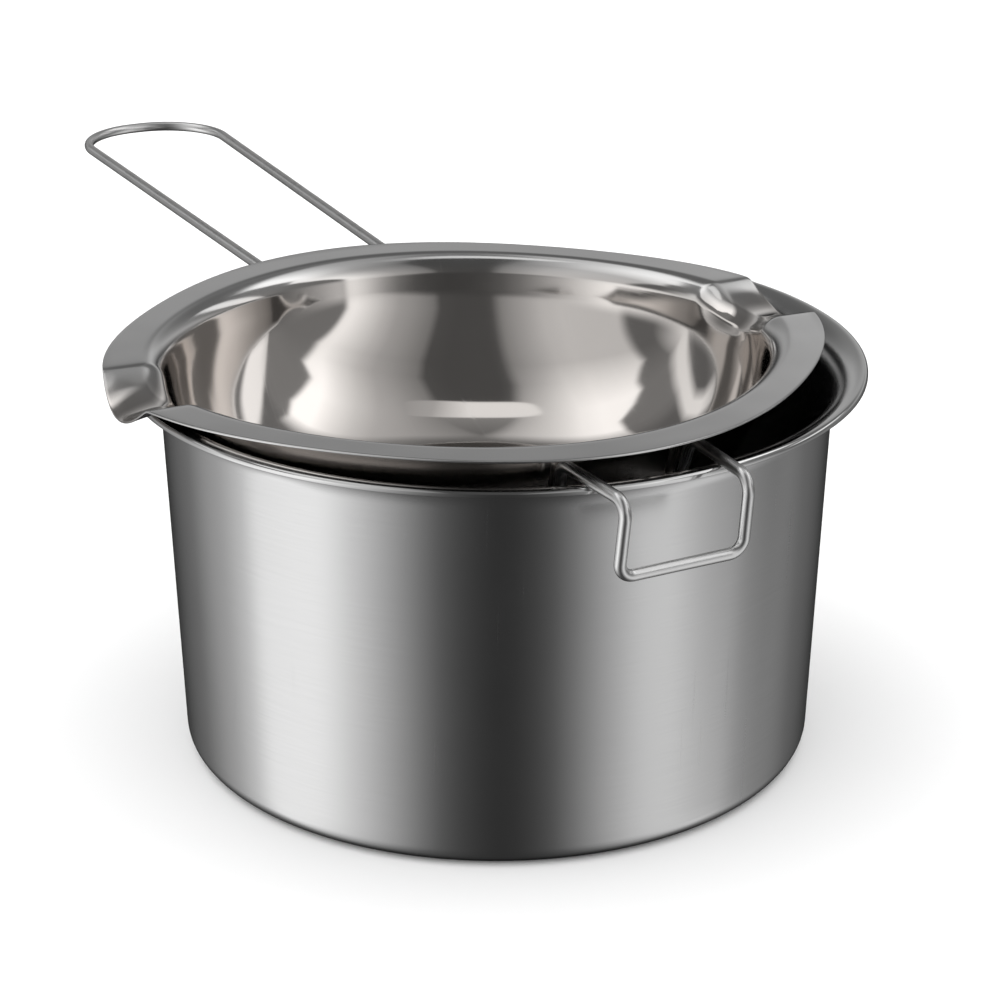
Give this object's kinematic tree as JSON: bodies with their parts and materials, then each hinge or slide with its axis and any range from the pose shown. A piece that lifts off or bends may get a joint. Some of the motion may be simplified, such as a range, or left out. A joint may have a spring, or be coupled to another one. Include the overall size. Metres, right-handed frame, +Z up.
{
  "type": "candle melting pot",
  "caption": "Two-part steel melting pot: a wide-flanged pouring bowl with wire handles rests on a deep water pot that heats it.",
  "frame": {"origin": "centre of the water pot's flat base", "axes": "+Z up; +Y towards the end of the long handle; the pouring spouts point along -X and +X"},
  "size_m": [0.2808, 0.5145, 0.1589],
  "materials": {
    "water_pot": "satin, faintly polished",
    "melting_bowl": "mirror-polished stainless steel",
    "long_handle": "drawn stainless wire",
    "rim_hook": "drawn stainless wire",
    "weld": "dull tack weld"
  },
  "bodies": {
    "pot": {"water_pot": "water_pot"},
    "bowl": {"melting_bowl": "melting_bowl", "long_handle": "long_handle", "rim_hook": "rim_hook", "handle_weld_left": "weld", "handle_weld_right": "weld", "hook_weld_left": "weld", "hook_weld_right": "weld"}
  },
  "joints": [
    {"name": "bowl_lift", "type": "slide", "parent": "pot", "child": "bowl", "axis": [0, 0, 1], "range_m": [0, 0.16]}
  ]
}
